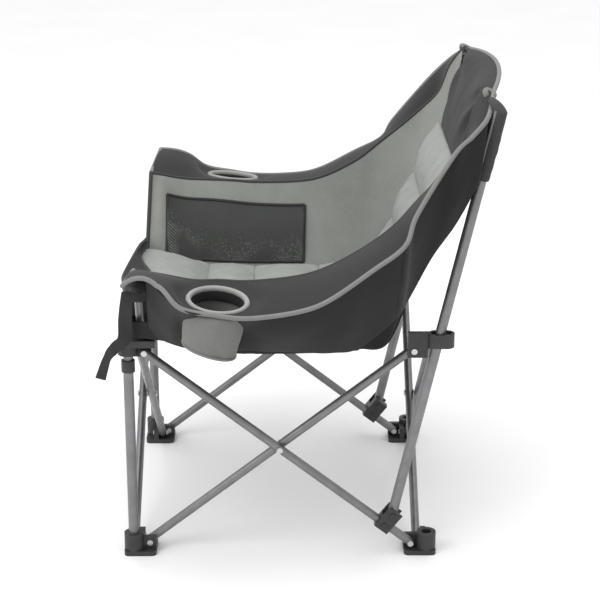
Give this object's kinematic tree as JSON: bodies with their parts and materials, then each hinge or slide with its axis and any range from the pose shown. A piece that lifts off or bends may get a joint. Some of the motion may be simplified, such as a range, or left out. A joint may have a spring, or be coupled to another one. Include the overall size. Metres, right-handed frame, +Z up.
{
  "type": "folding camping chair",
  "caption": "Folding camping chair: crossed-tube frame that closes to a bundle, padded bucket seat with high back, arms with sunk cup holders.",
  "frame": {"origin": "on the floor, below the middle of the chair's bounding box", "axes": "+Z up, the sitter faces -Y, +X to the right as seen from in front"},
  "size_m": [0.956, 0.7362, 0.89],
  "materials": {
    "tube": "satin",
    "plastic": "moulded, fine grain",
    "rivet": "plain",
    "pad": "woven, padded",
    "inner_cloth": "woven",
    "arm_cloth": "woven",
    "dark_cloth": "woven",
    "pouch_cloth": "woven",
    "binding": "bound edge",
    "mesh": "open mesh"
  },
  "bodies": {
    "seat": {"seat_sling": "dark_cloth", "seat_cushion": "pad", "crossing_rivet_front": "rivet"},
    "front_tube_right": {"front_tube_from_right": "tube"},
    "front_tube_left": {"front_tube_from_left": "tube"},
    "front_foot_right": {"front_foot_right": "plastic", "front_foot_rivets_right": "rivet", "outer_leg_right": "tube", "leg_collar_right": "plastic"},
    "front_foot_left": {"front_foot_left": "plastic", "front_foot_rivets_left": "rivet", "outer_leg_left": "tube", "leg_collar_left": "plastic"},
    "front_hub_right": {"front_hub_right": "plastic", "front_hub_rivets_right": "rivet", "inner_leg_right": "tube", "arm_post_right": "tube", "inner_panel_right": "inner_cloth", "arm_top_right": "arm_cloth", "side_panel_right": "dark_cloth", "cup_ring_right": "binding", "cup_pouch_right": "pouch_cloth", "post_cover_right": "dark_cloth"},
    "front_hub_left": {"front_hub_left": "plastic", "front_hub_rivets_left": "rivet", "inner_leg_left": "tube", "arm_post_left": "tube", "inner_panel_left": "inner_cloth", "arm_top_left": "arm_cloth", "side_panel_left": "dark_cloth", "cup_ring_left": "binding", "cup_pouch_left": "pouch_cloth", "post_cover_left": "dark_cloth", "mesh_pocket": "mesh"},
    "side_tube_up_right": {"side_tube_up_right": "tube"},
    "side_tube_down_right": {"side_tube_down_right": "tube", "upright_clamp_right": "plastic", "crossing_rivet_right": "rivet"},
    "rear_bracket_right": {"rear_bracket_right": "plastic", "rear_bracket_rivets_right": "rivet"},
    "rear_foot_right": {"rear_foot_right": "plastic", "rear_foot_rivets_right": "rivet"},
    "rear_tube_right": {"rear_tube_from_right": "tube", "crossing_rivet_rear": "rivet"},
    "upright_right": {"upright_right": "tube", "upright_sleeve_right": "dark_cloth"},
    "side_tube_up_left": {"side_tube_up_left": "tube"},
    "side_tube_down_left": {"side_tube_down_left": "tube", "upright_clamp_left": "plastic", "crossing_rivet_left": "rivet"},
    "rear_bracket_left": {"rear_bracket_left": "plastic", "rear_bracket_rivets_left": "rivet"},
    "rear_foot_left": {"rear_foot_left": "plastic", "rear_foot_rivets_left": "rivet"},
    "rear_tube_left": {"rear_tube_from_left": "tube"},
    "upright_left": {"upright_left": "tube", "upright_sleeve_left": "dark_cloth", "back_panel": "dark_cloth", "back_cushion": "pad", "headrest_panel": "dark_cloth"}
  },
  "joints": [
    {"name": "fold", "type": "hinge", "parent": "seat", "child": "front_tube_right", "pos_m": [0, -0.29583, 0.2115], "axis": [0, 1, 0], "range_deg": [0, 38], "deforming": ["seat_sling", "seat_cushion", "back_panel", "back_cushion", "headrest_panel", "mesh_pocket", "inner_panel_right", "arm_top_right", "side_panel_right", "cup_pouch_right", "post_cover_right", "inner_panel_left", "arm_top_left", "side_panel_left", "cup_pouch_left", "post_cover_left"]},
    {"name": "front_tube_left_turn", "type": "hinge", "parent": "seat", "child": "front_tube_left", "pos_m": [0, -0.29583, 0.2115], "axis": [0, 1, 0], "range_deg": [-38, 0]},
    {"name": "front_foot_right_turn", "type": "hinge", "parent": "front_tube_right", "child": "front_foot_right", "pos_m": [0.245, -0.30458, 0.02], "axis": [0, 1, 0], "range_deg": [-38, 0]},
    {"name": "front_foot_left_turn", "type": "hinge", "parent": "front_tube_left", "child": "front_foot_left", "pos_m": [-0.245, -0.28708, 0.02], "axis": [0, 1, 0], "range_deg": [0, 38]},
    {"name": "front_hub_right_turn", "type": "hinge", "parent": "front_tube_left", "child": "front_hub_right", "pos_m": [0.245, -0.28708, 0.403], "axis": [0, 1, 0], "range_deg": [0, 38]},
    {"name": "front_hub_left_turn", "type": "hinge", "parent": "front_tube_right", "child": "front_hub_left", "pos_m": [-0.245, -0.30458, 0.403], "axis": [0, 1, 0], "range_deg": [-38, 0]},
    {"name": "side_tube_up_right_turn", "type": "hinge", "parent": "front_foot_right", "child": "side_tube_up_right", "pos_m": [0.2575, -0.27458, 0.02], "axis": [1, 0, 0], "range_deg": [0, 38]},
    {"name": "side_tube_down_right_turn", "type": "hinge", "parent": "front_hub_right", "child": "side_tube_down_right", "pos_m": [0.275, -0.27458, 0.403], "axis": [1, 0, 0], "range_deg": [-38, 0]},
    {"name": "rear_bracket_right_turn", "type": "hinge", "parent": "side_tube_up_right", "child": "rear_bracket_right", "pos_m": [0.2575, 0.21542, 0.403], "axis": [1, 0, 0], "range_deg": [-38, 0]},
    {"name": "rear_foot_right_turn", "type": "hinge", "parent": "side_tube_down_right", "child": "rear_foot_right", "pos_m": [0.275, 0.21542, 0.02], "axis": [1, 0, 0], "range_deg": [0, 38]},
    {"name": "rear_tube_right_turn", "type": "hinge", "parent": "rear_foot_right", "child": "rear_tube_right", "pos_m": [0.245, 0.22792, 0.02], "axis": [0, 1, 0], "range_deg": [0, 38]},
    {"name": "upright_right_tilt", "type": "hinge", "parent": "side_tube_down_right", "child": "upright_right", "pos_m": [0.275, 0.18079, 0.0788], "axis": [1, 0, 0], "range_deg": [0, 47.31]},
    {"name": "side_tube_up_left_turn", "type": "hinge", "parent": "front_foot_left", "child": "side_tube_up_left", "pos_m": [-0.275, -0.27458, 0.02], "axis": [1, 0, 0], "range_deg": [0, 38]},
    {"name": "side_tube_down_left_turn", "type": "hinge", "parent": "front_hub_left", "child": "side_tube_down_left", "pos_m": [-0.2575, -0.27458, 0.403], "axis": [1, 0, 0], "range_deg": [-38, 0]},
    {"name": "rear_bracket_left_turn", "type": "hinge", "parent": "side_tube_up_left", "child": "rear_bracket_left", "pos_m": [-0.275, 0.21542, 0.403], "axis": [1, 0, 0], "range_deg": [-38, 0]},
    {"name": "rear_foot_left_turn", "type": "hinge", "parent": "side_tube_down_left", "child": "rear_foot_left", "pos_m": [-0.2575, 0.21542, 0.02], "axis": [1, 0, 0], "range_deg": [0, 38]},
    {"name": "rear_tube_left_turn", "type": "hinge", "parent": "rear_foot_left", "child": "rear_tube_left", "pos_m": [-0.245, 0.24542, 0.02], "axis": [0, 1, 0], "range_deg": [-38, 0]},
    {"name": "upright_left_tilt", "type": "hinge", "parent": "side_tube_down_left", "child": "upright_left", "pos_m": [-0.275, 0.18079, 0.0788], "axis": [1, 0, 0], "range_deg": [0, 47.31]}
  ],
  "couplings": [
    {"joint": "front_tube_left_turn", "follows": "fold", "ratio": -1},
    {"joint": "front_foot_right_turn", "follows": "fold", "ratio": -1},
    {"joint": "front_foot_left_turn", "follows": "fold", "ratio": 1},
    {"joint": "front_hub_right_turn", "follows": "fold", "ratio": 1},
    {"joint": "front_hub_left_turn", "follows": "fold", "ratio": -1},
    {"joint": "side_tube_up_right_turn", "follows": "fold", "ratio": 1},
    {"joint": "side_tube_down_right_turn", "follows": "fold", "ratio": -1},
    {"joint": "rear_bracket_right_turn", "follows": "fold", "ratio": -1},
    {"joint": "rear_foot_right_turn", "follows": "fold", "ratio": 1},
    {"joint": "rear_tube_right_turn", "follows": "fold", "ratio": 1},
    {"joint": "upright_right_tilt", "follows": "fold", "ratio": 1.245},
    {"joint": "side_tube_up_left_turn", "follows": "fold", "ratio": 1},
    {"joint": "side_tube_down_left_turn", "follows": "fold", "ratio": -1},
    {"joint": "rear_bracket_left_turn", "follows": "fold", "ratio": -1},
    {"joint": "rear_foot_left_turn", "follows": "fold", "ratio": 1},
    {"joint": "rear_tube_left_turn", "follows": "fold", "ratio": -1},
    {"joint": "upright_left_tilt", "follows": "fold", "ratio": 1.245}
  ]
}
